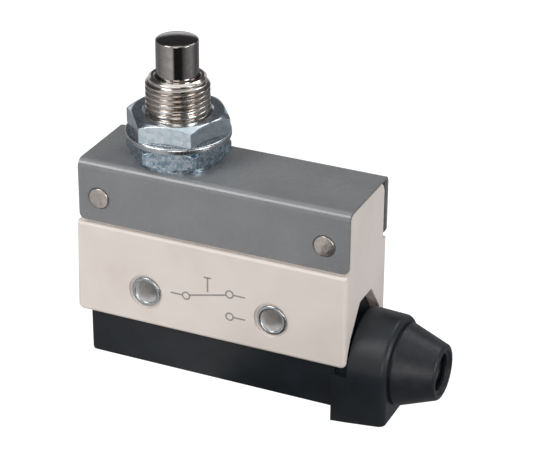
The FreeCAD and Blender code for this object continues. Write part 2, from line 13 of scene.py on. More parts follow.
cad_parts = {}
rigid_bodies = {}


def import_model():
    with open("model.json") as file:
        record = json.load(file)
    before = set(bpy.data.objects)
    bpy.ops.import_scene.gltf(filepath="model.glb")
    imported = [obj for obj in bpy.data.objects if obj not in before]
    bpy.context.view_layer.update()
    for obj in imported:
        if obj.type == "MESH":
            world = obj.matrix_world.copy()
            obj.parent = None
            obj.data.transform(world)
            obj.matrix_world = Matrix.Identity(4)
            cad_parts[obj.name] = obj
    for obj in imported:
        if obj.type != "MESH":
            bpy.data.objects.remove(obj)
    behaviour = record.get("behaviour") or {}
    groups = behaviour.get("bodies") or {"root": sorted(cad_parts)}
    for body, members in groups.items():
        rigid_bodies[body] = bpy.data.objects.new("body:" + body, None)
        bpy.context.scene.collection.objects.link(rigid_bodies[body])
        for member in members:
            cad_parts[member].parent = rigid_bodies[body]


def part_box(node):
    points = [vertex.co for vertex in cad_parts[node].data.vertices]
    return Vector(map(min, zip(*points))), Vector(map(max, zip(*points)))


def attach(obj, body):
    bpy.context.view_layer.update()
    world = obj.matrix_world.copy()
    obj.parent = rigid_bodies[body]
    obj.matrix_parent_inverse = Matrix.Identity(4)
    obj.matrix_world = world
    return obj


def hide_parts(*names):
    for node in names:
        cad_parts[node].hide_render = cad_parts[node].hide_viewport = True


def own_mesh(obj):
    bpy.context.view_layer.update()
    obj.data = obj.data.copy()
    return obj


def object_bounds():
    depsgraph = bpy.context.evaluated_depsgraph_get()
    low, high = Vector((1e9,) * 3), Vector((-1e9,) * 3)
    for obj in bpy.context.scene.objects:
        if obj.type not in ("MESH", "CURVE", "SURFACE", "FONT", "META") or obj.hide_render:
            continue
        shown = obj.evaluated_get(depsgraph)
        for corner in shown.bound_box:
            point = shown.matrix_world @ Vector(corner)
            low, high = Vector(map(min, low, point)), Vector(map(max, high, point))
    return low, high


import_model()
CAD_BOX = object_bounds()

LOG = logging.getLogger("limit_switch")
MM = 0.001
X, Y, Z = Vector((1, 0, 0)), Vector((0, 1, 0)), Vector((0, 0, 1))
Point = tuple[float, float]


# ---------------------------------------------------------------- shading

def linear(hex_colour: str) -> tuple[float, float, float, float]:
    """Turn an sRGB colour into the linear one a shader takes.

    Args:
        hex_colour: Six hex digits, such as "c8c0b8".

    Returns:
        Red, green, blue and an alpha of 1, in linear light.
    """
    parts = [int(hex_colour[i:i + 2], 16) / 255 for i in (0, 2, 4)]
    light = [c / 12.92 if c <= 0.04045 else ((c + 0.055) / 1.055) ** 2.4 for c in parts]
    return (*light, 1.0)


def per_mm(size_mm: float) -> float:
    """Return the texture scale that draws a feature about size_mm across."""
    return 1 / (size_mm * MM)


def add_node(tree: bpy.types.NodeTree, kind: str, settings: Optional[dict] = None,
             links: Optional[dict] = None, stops: Sequence[tuple[float, str]] = ()) -> bpy.types.Node:
    """Add a shader node with its settings and links.

    Args:
        tree: The node tree it goes in.
        kind: The node's type name, such as "ShaderNodeTexNoise".
        settings: Values by input name, input number or attribute name.
        links: Output sockets by the input name or number they feed.
        stops: A colour ramp's (position, hex colour) pairs.

    Returns:
        The new node.
    """
    node = tree.nodes.new(kind)
    for key, value in (settings or {}).items():
        if isinstance(key, int) or key in node.inputs:
            node.inputs[key].default_value = value
        else:
            setattr(node, key, value)
    for key, socket in (links or {}).items():
        tree.links.new(socket, node.inputs[key])
    for index, (position, colour) in enumerate(stops):
        elements = node.color_ramp.elements
        stop = elements[index] if index < 2 else elements.new(position)
        stop.position = position
        stop.color = linear(colour)
    return node


class Grain(Enum):
    """The way a finish's fine texture runs: how much each axis is stretched."""

    EVEN = (1.0, 1.0, 1.0)
    TURNED = (0.04, 0.04, 1.0)
    DRAWN_UP = (1.0, 1.0, 0.04)
    ROLLED = (0.05, 1.0, 1.0)
    THROUGH = (1.0, 0.04, 1.0)


@dataclass(frozen=True)
class Finish:
    """A surface: two close tones in soft patches, a fine grain in its gloss, and a shallow relief.

    Attributes:
        name: The material's name.
        tones: Hex colours from the darker patches to the lighter ones.
        patch_mm: How far apart the patches are.
        grain_mm: How far apart the grain's marks are.
        roughness: The lowest and highest roughness.
        relief_mm: The grain's height.
        grain: The way the grain runs.
        metallic: 1 for bare or plated metal.
        specular: Strength of the gloss of a paint or plastic.
        coat: Strength of a clear, glossy top layer.
    """

    name: str
    tones: tuple[str, ...]
    patch_mm: float
    grain_mm: float
    roughness: tuple[float, float]
    relief_mm: float
    grain: Grain = Grain.EVEN
    metallic: float = 0.0
    specular: float = 0.5
    coat: float = 0.0

    def cells(self, tree: bpy.types.NodeTree, place: bpy.types.NodeSocket) -> bpy.types.NodeSocket:
        """Return the socket that says how light each spot is, from 0 to 1."""
        patches = add_node(tree, "ShaderNodeTexNoise",
                           {"Scale": per_mm(self.patch_mm), "Detail": 3.0, "Roughness": 0.6},
                           {"Vector": place})
        return patches.outputs[0]

    def material(self) -> bpy.types.Material:
        """Return the finish's material, made the first time it is asked for."""
        made = bpy.data.materials.get(self.name)
        if made:
            return made
        made = bpy.data.materials.new(self.name)
        made.use_nodes = True
        tree = made.node_tree
        tree.nodes.clear()
        place = add_node(tree, "ShaderNodeTexCoord").outputs["Object"]
        spread = [(0.3 + 0.4 * i / (len(self.tones) - 1), tone) for i, tone in enumerate(self.tones)]
        colour = add_node(tree, "ShaderNodeValToRGB", links={0: self.cells(tree, place)}, stops=spread)
        run = add_node(tree, "ShaderNodeMapping", {"Scale": self.grain.value}, {"Vector": place})
        marks = add_node(tree, "ShaderNodeTexNoise",
                         {"Scale": per_mm(self.grain_mm), "Detail": 4.0}, {"Vector": run.outputs[0]})
        low, high = self.roughness
        gloss = add_node(tree, "ShaderNodeMapRange",
                         {"From Min": 0.3, "From Max": 0.7, "To Min": low, "To Max": high},
                         {"Value": marks.outputs[0]})
        relief = add_node(tree, "ShaderNodeBump", {"Distance": self.relief_mm * MM, "Strength": 1.0},
                          {"Height": marks.outputs[0]})
        shader = add_node(tree, "ShaderNodeBsdfPrincipled",
                          {"Metallic": self.metallic, "Coat Weight": self.coat, "Coat Roughness": 0.08},
                          {"Base Color": colour.outputs[0], "Roughness": gloss.outputs[0],
                           "Normal": relief.outputs[0]})
        if not self.metallic:
            shader.inputs["Specular IOR Level"].default_value = self.specular
        add_node(tree, "ShaderNodeOutputMaterial", links={"Surface": shader.outputs[0]})
        made.diffuse_color = linear(self.tones[-1])
        return made


@dataclass(frozen=True)
class Spangled(Finish):
    """A plating whose crystals catch the light cell by cell."""

    def cells(self, tree: bpy.types.NodeTree, place: bpy.types.NodeSocket) -> bpy.types.NodeSocket:
        """Return cells of random lightness, softened by a finer noise."""
        crystals = add_node(tree, "ShaderNodeTexVoronoi", {"Scale": per_mm(self.patch_mm)}, {"Vector": place})
        haze = add_node(tree, "ShaderNodeTexNoise", {"Scale": per_mm(self.patch_mm * 2), "Detail": 5.0},
                        {"Vector": place})
        blend = add_node(tree, "ShaderNodeMix", {"data_type": "RGBA", "Factor": 0.55},
                         {6: crystals.outputs["Color"], 7: haze.outputs[0]})
        grey = add_node(tree, "ShaderNodeRGBToBW", links={0: blend.outputs[2]})
        return grey.outputs[0]


# Moulded ABS: warm off-white with a fine satin sparkle and hardly any mottling.
CREAM_ABS = Finish("cream_moulded_abs", ("d6cdc6", "ddd5cf", "e0d9d3"), 14, 0.25, (0.48, 0.62), 0.004)
# Stove-enamelled sheet steel: an even grey with the slight waviness of sprayed paint.
GREY_ENAMEL = Finish("grey_stove_enamel", ("77797b", "7b7d7f", "7f8183"), 9, 1.6, (0.22, 0.3), 0.002,
                     coat=0.25)
# Nickel-plated brass: warm and bright, with fine turning rings.
NICKEL = Finish("nickel_plated_brass", ("cbc4be", "d9d3cd", "e6e1dc"), 3, 0.16, (0.12, 0.24), 0.003,
                Grain.TURNED, metallic=1.0)
# Zinc-plated strip for the washer and the tubes: a neutral, even silver.
SILVER_ZINC = Finish("bright_zinc_plate", ("a8adb0", "b8bcbf", "c6cacc"), 1.6, 0.3, (0.2, 0.34), 0.0012,
                     metallic=1.0)
# Inside the drawn tube: matt, pale and non-metallic, a painted light that brightens the shaded hole, with
# drawing lines along it.
BORE_PAINTED_LIGHT = Finish("drawn_zinc_tube_bore", ("c9c8c8", "d6d5d4", "e0dfde"), 1.2, 0.3, (0.5, 0.65), 0.006,
                   Grain.THROUGH)
# Blue zinc plate: cold, cloudy and speckled by its crystals.
ZINC = Spangled("blue_zinc_plate", ("7c92a1", "9db1c0", "bccbd6", "dae3ea"), 0.42, 0.3, (0.2, 0.36), 0.006,
                metallic=1.0)
# The same plate on the thinner nut, which stayed brighter: finer crystals and a smoother face.
BRIGHT_ZINC = Spangled("bright_blue_zinc_plate", ("c3d1db", "cbd8e0", "d5e0e7", "dfe8ee"), 0.8, 0.5,
                       (0.2, 0.26), 0.0008, metallic=1.0)
# Ground and polished stainless steel: a mirror, darkened by the floor's painted dark band, with fine lines
# along the stroke.
POLISHED_STEEL = Finish("polished_stainless_steel", ("9a9693", "a8a4a1", "b6b2af"), 1.2, 0.35, (0.06, 0.16),
                        0.001, Grain.DRAWN_UP, metallic=1.0)
# Cold-headed plain steel: satin, slightly warm, dimpled by the header's die.
RIVET_STEEL = Finish("satin_rivet_steel", ("b6ada5", "c8bfb8", "dad2cb"), 0.8, 0.7, (0.24, 0.36), 0.05,
                     metallic=1.0)
# Glass-filled nylon: black with a bluish satin sheen and a spark-eroded grain.
BLACK_NYLON = Finish("black_moulded_nylon", ("12161b", "161b20", "1b2026"), 5, 0.22, (0.36, 0.5), 0.006,
                     specular=0.42)
# Moulded chloroprene rubber: softer and duller than the nylon, a little dusty.
RUBBER = Finish("black_chloroprene_rubber", ("14171b", "181b20", "20242a"), 2.5, 0.35, (0.36, 0.54), 0.006,
                specular=0.4)
# Pad-printed grey ink: thin, matt, and a little uneven.
GREY_INK = Finish("grey_pad_print_ink", ("85827f", "8f8c89", "999693"), 1.0, 0.3, (0.55, 0.7), 0.002)
# Hard-drawn spring wire: grey steel with lines along the wire.
SPRING_WIRE = Finish("drawn_spring_wire", ("76767a", "8e8e92"), 1.0, 0.1, (0.22, 0.4), 0.002, metallic=1.0)
# Wood-filled phenolic: dark brown with small lighter flecks.
PHENOLIC = Finish("brown_phenolic", ("2e1c11", "3a2517", "4d3422"), 0.9, 0.3, (0.3, 0.45), 0.006)
# Half-hard brass strip: yellow, with rolling lines.
BRASS_STRIP = Finish("rolled_brass_strip", ("b08f4a", "c4a45a", "d2b56c"), 2.5, 0.2, (0.22, 0.38), 0.003,
                     Grain.ROLLED, metallic=1.0)
# Beryllium copper strip: redder than the brass, springy and bright.
BLADE_COPPER = Finish("rolled_beryllium_copper", ("a8774c", "bc895a", "cc9c6e"), 2.5, 0.2, (0.2, 0.34), 0.003,
                      Grain.ROLLED, metallic=1.0)
# Coined silver alloy: white and fine-grained.
SILVER = Finish("coined_silver_alloy", ("c4c4c0", "d8d8d4", "e6e6e2"), 0.6, 0.1, (0.2, 0.36), 0.003,
                metallic=1.0)


# ---------------------------------------------------------------- modelling

def rounded(corners: Sequence[tuple[float, float, float]], steps: int = 4) -> list[Point]:
    """Round the corners of an outline.

    Args:
        corners: (across, along, radius) of each corner in order; radius 0 keeps it sharp.
        steps: Straight pieces in each rounding.

    Returns:
        The outline's points.
    """
    points: list[Point] = []
    for index, (a, b, radius) in enumerate(corners):
        here = Vector((a, b))
        if radius == 0 or index in (0, len(corners) - 1):
            points.append((a, b))
            continue
        back = (Vector(corners[index - 1][:2]) - here).normalized()
        ahead = (Vector(corners[index + 1][:2]) - here).normalized()
        half = back.angle(ahead) / 2
        centre = here + (back + ahead).normalized() * (radius / math.sin(half))
        first = here + back * (radius / math.tan(half)) - centre
        last = here + ahead * (radius / math.tan(half)) - centre
        for step in range(steps + 1):
            spoke = first.slerp(last, step / steps).normalized() * radius
            points.append(tuple(centre + spoke))
    return points


def alone(obj: bpy.types.Object) -> None:
    """Make obj the only selected object, and the active one."""
    for other in bpy.context.view_layer.objects:
        other.select_set(False)
    obj.select_set(True)
    bpy.context.view_layer.objects.active = obj


class Workpiece:
    """A mesh being shaped; its object stays at the origin, unturned and unscaled."""

    def __init__(self, obj: bpy.types.Object, name: str) -> None:
        """Take an object under a new name."""
        self.obj = obj
        obj.name = name
        obj.data.name = name

    @contextmanager
    def editing(self) -> Iterator[None]:
        """Edit the mesh with all of it selected."""
        alone(self.obj)
        bpy.ops.object.mode_set(mode="EDIT")
        bpy.ops.mesh.select_all(action="SELECT")
        yield
        bpy.ops.object.mode_set(mode="OBJECT")

    @classmethod
    def traced(cls, name: str, steps: Sequence[Vector], start: Vector, closed: bool) -> "Workpiece":
        """Draw a line by extruding a single corner.

        Args:
            name: The piece's name.
            steps: The moves from one point to the next.
            start: The first point.
            closed: Whether the last point is joined to the first by a face over the outline.

        Returns:
            The outline, ready to be spun or screwed.
        """
        bpy.ops.mesh.primitive_plane_add(size=MM)
        piece = cls(bpy.context.object, name)
        with piece.editing():
            bpy.ops.mesh.merge(type="CENTER")
            bpy.ops.transform.translate(value=start)
            for move in steps:
                bpy.ops.mesh.extrude_region_move(TRANSFORM_OT_translate={"value": move})
            if closed:
                bpy.ops.mesh.select_all(action="SELECT")
                bpy.ops.mesh.edge_face_add()
        return piece

    @classmethod
    def turned(cls, name: str, outline: Sequence[Point], centre: Vector, axis: Vector,
               segments: int = 96) -> "Workpiece":
        """Turn a piece on the lathe.

        Args:
            name: The piece's name.
            outline: (radius, height) points in mm; both ends lie on the axis, or they coincide.
            centre: Where height 0 lies on the axis, in metres.
            axis: The axis of the lathe.
            segments: Facets around.

        Returns:
            The closed, turned piece.
        """
        across = X if abs(axis.dot(X)) < 0.5 else Z
        points = [centre + (across * r + axis * h) * MM for r, h in outline]
        moves = [b - a for a, b in zip(points, points[1:])]
        piece = cls.traced(name, moves, points[0], False)
        with piece.editing():
            bpy.ops.mesh.spin(steps=segments, angle=math.tau, center=centre, axis=axis)
            bpy.ops.mesh.select_all(action="SELECT")
            bpy.ops.mesh.remove_doubles(threshold=MM * 1e-4)
            bpy.ops.mesh.normals_make_consistent(inside=False)
        return piece

    @classmethod
    def wound(cls, name: str, section: Sequence[Point], axis: Vector, pitch: float, turns: int,
              steps: int) -> "Workpiece":
        """Wind a section up around an upright axis.

        Args:
            name: The piece's name.
            section: (radius, height) corners in mm.
            axis: A point of the axis, in metres.
            pitch: The rise of one turn in mm.
            turns: How many turns.
            steps: Facets in a turn.

        Returns:
            The closed helical piece.
        """
        points = [(X * r + Z * h) * MM for r, h in section]
        moves = [b - a for a, b in zip(points, points[1:])]
        piece = cls.traced(name, moves, points[0], True)
        piece.change("SCREW", angle=math.tau, screw_offset=pitch * MM, iterations=turns, steps=steps,
                     render_steps=steps, use_merge_vertices=True, merge_threshold=MM * 1e-4)
        with piece.editing():
            bpy.ops.transform.translate(value=axis)
            bpy.ops.mesh.fill_holes(sides=len(section))
            bpy.ops.mesh.select_all(action="SELECT")
            bpy.ops.mesh.normals_make_consistent(inside=False)
        return piece

    @classmethod
    def from_frame(cls, node: str) -> "Workpiece":
        """Copy a CAD node's mesh, and merge its loose triangles into clean faces."""
        source = bpy.data.objects[node]
        copy = bpy.data.objects.new(node + "_look", source.data.copy())
        bpy.context.scene.collection.objects.link(copy)
        piece = cls(copy, node + "_look")
        with piece.editing():
            bpy.ops.mesh.remove_doubles(threshold=MM * 1e-3)
            bpy.ops.mesh.dissolve_limited(angle_limit=math.radians(0.4))
        return piece

    def change(self, kind: str, **settings: object) -> "Workpiece":
        """Add a modifier of the given kind with its settings, and apply it."""
        alone(self.obj)
        modifier = self.obj.modifiers.new(kind, kind)
        for key, value in settings.items():
            setattr(modifier, key, value)
        bpy.ops.object.modifier_apply(modifier=modifier.name)
        return self

    def combine(self, other: "Workpiece", operation: str) -> "Workpiece":
        """Cut with, join or keep what is shared with another piece, which is used up."""
        self.change("BOOLEAN", object=other.obj, operation=operation, solver="EXACT")
        bpy.data.objects.remove(other.obj)
        return self

    def join(self, *others: "Workpiece") -> "Workpiece":
        """Add the other pieces' shells to this one's mesh."""
        alone(self.obj)
        for other in others:
            other.obj.select_set(True)
        bpy.ops.object.join()
        return self

    def soften(self, width_mm: float, over_deg: float = 30, segments: int = 2) -> "Workpiece":
        """Bevel the edges sharper than over_deg."""
        return self.change("BEVEL", width=width_mm * MM, segments=segments, limit_method="ANGLE",
                           angle_limit=math.radians(over_deg), use_clamp_overlap=True,
                           harden_normals=False, miter_outer="MITER_ARC")

    def copied(self, name: str, move: Vector) -> "Workpiece":
        """Return a copy with its own mesh, moved."""
        copy = bpy.data.objects.new(name, self.obj.data.copy())
        bpy.context.scene.collection.objects.link(copy)
        twin = Workpiece(copy, name)
        with twin.editing():
            bpy.ops.transform.translate(value=move)
        return twin

    def mount(self, finish: Finish, body: str, slot: str, *nodes: str, smooth_deg: float = 32) -> "Workpiece":
        """Shade the piece, dress it, and put it on its body.

        Args:
            finish: Its surface.
            body: The body it rides on.
            slot: The record's material slot it stands for; not used.
            nodes: The CAD nodes it replaces.
            smooth_deg: Faces that meet at less than this are shaded smooth.

        Returns:
            The piece itself.
        """
        alone(self.obj)
        bpy.ops.object.shade_smooth_by_angle(angle=math.radians(smooth_deg))
        self.change("WEIGHTED_NORMAL", mode="FACE_AREA", keep_sharp=True)
        self.obj.data.materials.clear()
        self.obj.data.materials.append(finish.material())
        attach(self.obj, body)
        if nodes:
            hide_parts(*nodes)
        LOG.info("%s: %d faces, %s, on %s", self.obj.name, len(self.obj.data.polygons), finish.name, body)
        return self

    def refinish(self, finish: Finish, wanted: Callable[[Vector], bool]) -> "Workpiece":
        """Give the faces whose middles are wanted another finish."""
        self.obj.data.materials.append(finish.material())
        for face in self.obj.data.polygons:
            if wanted(face.center):
                face.material_index = 1
        return self


def dress_node(node: str, finish: Finish) -> None:
    """Give a CAD node that keeps its shape its finish."""
    obj = bpy.data.objects[node]
    if not obj.material_slots:
        obj.data.materials.append(None)
    for slot in obj.material_slots:
        slot.material = finish.material()
    LOG.info("%s: CAD shape, %s", node, finish.name)


def top_of(node: str) -> float:
    """Return the height of a node's top in mm."""
    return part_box(node)[1].z / MM


def bottom_of(node: str) -> float:
    """Return the height of a node's underside in mm."""
    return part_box(node)[0].z / MM


def middle_of(node: str) -> Vector:
    """Return the middle of a node's box."""
    low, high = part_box(node)
    return (low + high) / 2


# ---------------------------------------------------------------- sub-assemblies

@dataclass
class Casing:
    """The moulded case with its steel cap, rivets and hole sleeves; sizes in mm."""

    rivet_shank: float = 1.5
    rivet_head: float = 1.95
    rivet_rise: float = 0.2
    rivet_crown: float = 0.04
    rivet_edge: float = 0.15
    flap_face: float = 9.1
    sink_depth: float = 0.3
    sink_width: float = 0.28
    sink_floor: float = 0.06
    sink_overlap: float = 0.05
    sink_clear: float = 0.1
    sleeve_bore: float = 2.15
    sleeve_tube: float = 2.75
    sleeve_rim: float = 2.95
    rim_depth: float = 0.45
    rim_dip: float = 0.05
    rim_crown: float = 0.35
    rim_bead: float = 0.28

    def build(self) -> None:
        """Build the casing's pieces."""
        self.shell()
        self.cap()
        self.rivets()
        self.sleeves()

    def shell(self) -> None:
        """The case, its moulded edges softened."""
        case = Workpiece.from_frame("housing")
        case.soften(0.12)
        case.mount(CREAM_ABS, "case", "cream_plastic", "housing")

    def cap(self) -> None:
        """The folded steel cap, with sheared edges."""
        cap = Workpiece.from_frame("top_cover")
        for where in self.rivet_places():
            for side in (-1, 1):
                cap.combine(self.countersink(where, side), "DIFFERENCE")
        cap.soften(0.07)
        cap.mount(GREY_ENAMEL, "case", "grey_paint", "top_cover")

    def rivet_places(self) -> tuple[Vector, Vector]:
        """Return where the two rivets' axes cross the middle plane."""
        low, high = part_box("cover_rivets")
        head = self.rivet_head * MM
        return Vector((low.x + head, 0, low.z + head)), Vector((high.x - head, 0, low.z + head))

    def countersink(self, where: Vector, side: int) -> Workpiece:
        """Return the shallow ring that a rivet's head leaves in the sheet around it.

        Args:
            where: The rivet's place.
            side: -1 for the front flap, 1 for the back one.

        Returns:
            The ring to be cut away.
        """
        face = self.flap_face
        floor, above = face - self.sink_depth, face + self.sink_clear
        inner = self.rivet_head - self.sink_overlap
        ring = [(inner, floor), (self.rivet_head + self.sink_floor, floor),
                (self.rivet_head + self.sink_width, above), (inner, above), (inner, floor)]
        return Workpiece.turned("rivet_ring", [(r, h * side) for r, h in ring], where, Y, 64)

    def rivets(self) -> None:
        """Two solid rivets with low, rounded heads at both faces."""
        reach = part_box("cover_rivets")[1].y / MM
        seat = reach - self.rivet_rise
        left_at, right_at = self.rivet_places()
        rim = reach - self.rivet_crown
        outline = rounded([
            (0, -reach, 0), (self.rivet_head, -rim, self.rivet_edge), (self.rivet_head, -seat, 0),
            (self.rivet_shank, -seat, 0), (self.rivet_shank, seat, 0), (self.rivet_head, seat, 0),
            (self.rivet_head, rim, self.rivet_edge), (0, reach, 0)])
        right = Workpiece.turned("cover_rivet_pair", outline, right_at, Y, 64)
        left = right.copied("cover_rivet_left", left_at - right_at)
        right.join(left)
        right.mount(RIVET_STEEL, "case", "rivet_steel", "cover_rivets")

    def sleeves(self) -> None:
        """The two steel tubes in the mounting holes, with rolled rims."""
        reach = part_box("mount_sleeve_left")[1].y / MM
        seat = reach - self.rim_depth
        mouth, crown, bead = reach - self.rim_dip, self.sleeve_bore + self.rim_crown, self.rim_bead
        outline = rounded([
            (self.sleeve_bore, 0, 0), (self.sleeve_bore, mouth, bead), (crown, reach, bead),
            (self.sleeve_rim, reach, bead), (self.sleeve_rim, seat, 0), (self.sleeve_tube, seat, 0),
            (self.sleeve_tube, -seat, 0), (self.sleeve_rim, -seat, 0), (self.sleeve_rim, -reach, bead),
            (crown, -reach, bead), (self.sleeve_bore, -mouth, bead), (self.sleeve_bore, 0, 0)])
        left_at, right_at = middle_of("mount_sleeve_left"), middle_of("mount_sleeve_right")
        left = Workpiece.turned("hole_sleeve_left", outline, left_at, Y, 72)
        right = left.copied("hole_sleeve_right", right_at - left_at)
        left.mount(SILVER_ZINC, "case", "nickel_plate", "mount_sleeve_left")
        right.mount(SILVER_ZINC, "case", "nickel_plate", "mount_sleeve_right")
        # The inner walls get the pale bore finish: painted light in the shaded holes.
        for sleeve, at in ((left, left_at), (right, right_at)):
            sleeve.refinish(BORE_PAINTED_LIGHT, lambda middle: math.hypot(middle.x - at.x, middle.z - at.z)
                            < (self.sleeve_bore + 0.02) * MM)


@dataclass
class PanelBush:
    """The threaded bush with its jam nut, panel washer and panel nut; sizes in mm."""

    pitch: float = 1.0
    crest: float = 5.9
    root: float = 5.29
    flange: float = 7.0
    plain: float = 5.8
    thread_low: float = 25.1
    run_out: float = 0.3
    lead_in: float = 0.4
    nose_chamfer: float = 0.5
    mouth_chamfer: float = 0.35
    seal_depth: float = 0.9
    face_overlap: float = 0.02
    nut_sink: float = 0.55
    overcut: float = 1.0
    ridge_steps: int = 96
    thread_turns: int = 14
    guide: float = 3.95
    spring_bore: float = 4.7
    shoulder: float = 35.0
    seal_at: float = 37.7
    seal_half: float = 0.5
    flats: float = 17.0
    nut_bore: float = 5.95
    nut_face: float = 7.9
    chamfer: float = 8.3
    jam_low: float = 25.2
    sheet: float = 0.6
    jam_turn: float = 15.0
    nut_turn: float = 10.0
    washer_bore: float = 6.2
    washer_edge: float = 9.75

    @property
    def axis(self) -> Vector:
        """Where the bush's axis crosses the level of height 0."""
        return Vector((middle_of("threaded_bush").x, 0, 0))

    def build(self) -> None:
        """Build the bush's pieces."""
        self.bush()
        cap_top, jam_top = top_of("top_cover"), top_of("lower_nut")
        buried = self.jam_low + self.face_overlap
        face = [(0, cap_top), (self.nut_face, cap_top), (self.nut_face, buried), (0, buried)]
        jam = self.nut("jam_nut", self.jam_low, jam_top, self.jam_turn, True)
        jam.combine(Workpiece.turned("jam_face", face, self.axis, Z), "UNION")
        self.bore(jam, cap_top, jam_top)
        jam.mount(ZINC, "case", "zinc_plate", "lower_nut", smooth_deg=24)
        low, top = bottom_of("upper_nut"), top_of("upper_nut")
        nut = self.nut("panel_nut_hex", low, top, self.nut_turn, False)
        self.bore(nut, low, top)
        nut.mount(BRIGHT_ZINC, "panel_nut", "zinc_plate", "upper_nut", smooth_deg=24)
        self.washer()

    def bush(self) -> None:
        """The turned core and the helical ridge of the thread around it."""
        low, top = bottom_of("threaded_bush"), top_of("threaded_bush")
        seat = top_of("top_cover") - self.sheet
        seal = self.guide + self.seal_depth
        seal_top, seal_low = self.seal_at + self.seal_half, self.seal_at - self.seal_half
        nose = top - self.lead_in
        outline = rounded([
            (self.flange, low, 0), (self.flange, seat, 0.1), (self.plain, seat, 0),
            (self.plain, self.thread_low, 0), (self.root, self.thread_low + self.run_out, 0),
            (self.root, nose, 0.15), (self.root - self.nose_chamfer, top, 0.12),
            (self.guide + self.mouth_chamfer, top, 0.1), (self.guide, nose, 0.1), (self.guide, seal_top, 0),
            (seal, seal_top, 0), (seal, seal_low, 0), (self.guide, seal_low, 0),
            (self.guide, self.shoulder, 0), (self.spring_bore, self.shoulder, 0), (self.spring_bore, low, 0),
            (self.flange, low, 0)])
        core = Workpiece.turned("bush_core", outline, self.axis, Z, 128)
        core.join(self.ridge())
        core.mount(NICKEL, "case", "nickel_plate", "threaded_bush", smooth_deg=40)

    def ridge(self) -> Workpiece:
        """Return the thread's ridge: a blunt 60 degree tooth, one pitch up for each turn."""
        tooth, land, buried = 0.84 * self.pitch, 0.18 * self.pitch, 0.12
        flank = (tooth - land) / 2
        low, core = self.thread_low, self.root - buried
        section = [(core, low), (core, low + tooth), (self.root, low + tooth),
                   (self.crest, low + tooth - flank), (self.crest, low + flank), (self.root, low)]
        return Workpiece.wound("thread_ridge", section, self.axis, self.pitch, self.thread_turns,
                               self.ridge_steps)

    def nut(self, name: str, low: float, top: float, turn_deg: float, both: bool) -> Workpiece:
        """Make a hexagon blank with chamfered corners.

        Args:
            name: The nut's name.
            low: Its underside.
            top: Its upper face.
            turn_deg: How far it is turned about the bush.
            both: Whether the underside is chamfered as well.

        Returns:
            The blank, without its bore.
        """
        corner = self.flats / 2 / math.cos(math.radians(30))
        bpy.ops.mesh.primitive_cylinder_add(
            vertices=6, radius=corner * MM, depth=(top - low) * MM,
            location=self.axis + Z * (low + top) / 2 * MM, rotation=(0, 0, math.radians(turn_deg - 30)))
        blank = Workpiece(bpy.context.object, name)
        settle(blank.obj)
        beyond = corner + 0.6
        drop = (beyond - self.chamfer) * math.tan(math.radians(30))
        outline = [(0, top), (self.chamfer, top), (beyond, top - drop)]
        underside = [(beyond, low + drop), (self.chamfer, low)] if both else [(beyond, low)]
        outline += underside + [(0, low)]
        blank.combine(Workpiece.turned(name + "_cone", outline, self.axis, Z, 120), "INTERSECT")
        blank.soften(0.13, over_deg=22)
        return blank

    def bore(self, nut: Workpiece, low: float, top: float) -> None:
        """Bore a nut and countersink both ends of its hole."""
        sink, wide = self.nut_sink, self.nut_bore + self.nut_sink + self.overcut
        below, above = low - self.overcut, top + self.overcut
        outline = [(0, below), (wide, below), (self.nut_bore, low + sink), (self.nut_bore, top - sink),
                   (wide, above), (0, above)]
        nut.combine(Workpiece.turned("nut_bore", outline, self.axis, Z, 96), "DIFFERENCE")

    def washer(self) -> None:
        """The stamped panel washer: a rolled upper edge and a crisp lower one."""
        low, top = bottom_of("panel_washer"), top_of("panel_washer")
        outline = rounded([(self.washer_bore, low + 0.3, 0), (self.washer_bore, top, 0.12),
                           (self.washer_edge, top, 0.38), (self.washer_edge, low, 0.12),
                           (self.washer_bore, low, 0.2), (self.washer_bore, low + 0.3, 0)])
        washer = Workpiece.turned("panel_washer_ring", outline, self.axis, Z, 120)
        washer.mount(SILVER_ZINC, "washer", "nickel_plate", "panel_washer")


def settle(obj: bpy.types.Object) -> None:
    """Put an object's place, turn and size into its mesh."""
    alone(obj)
    bpy.ops.object.transform_apply(location=True, rotation=True, scale=True)


@dataclass
class PushPlunger:
    """The polished plunger; sizes in mm."""

    radius: float = 3.9
    dome_rise: float = 0.51
    edge: float = 0.22
    collar: float = 4.6
    collar_low: float = 33.9
    collar_top: float = 35.0
    skirt: float = 3.5
    core: float = 2.7
    core_top: float = 44.0
    keeper: float = 0.2
    keeper_height: float = 0.5
    dome_steps: int = 10

    def build(self) -> None:
        """Turn the plunger, with its shallow dome and blind spring bore."""
        low, top = bottom_of("plunger"), top_of("plunger")
        dome = (self.radius ** 2 + self.dome_rise ** 2) / (2 * self.dome_rise)
        sweep = math.asin((self.radius - self.edge) / dome)
        angles = [sweep * i / self.dome_steps for i in range(self.dome_steps)]
        crown = [(dome * math.sin(a), top - dome * (1 - math.cos(a)), 0) for a in angles]
        mouth = self.core + self.keeper
        outline = rounded(crown + [
            (self.radius, top - self.dome_rise, self.edge), (self.radius, self.collar_top, 0),
            (self.collar, self.collar_top, 0.1), (self.collar, self.collar_low, 0.1),
            (self.skirt, self.collar_low, 0), (self.skirt, low, 0.1), (mouth, low, 0),
            (mouth, low + self.keeper_height, 0), (self.core, low + self.keeper_height, 0),
            (self.core, self.core_top, 0), (0, self.core_top, 0)])
        axis = Vector((middle_of("plunger").x, 0, 0))
        plunger = Workpiece.turned("push_plunger", outline, axis, Z, 128)
        plunger.mount(POLISHED_STEEL, "plunger", "plunger_steel", "plunger")


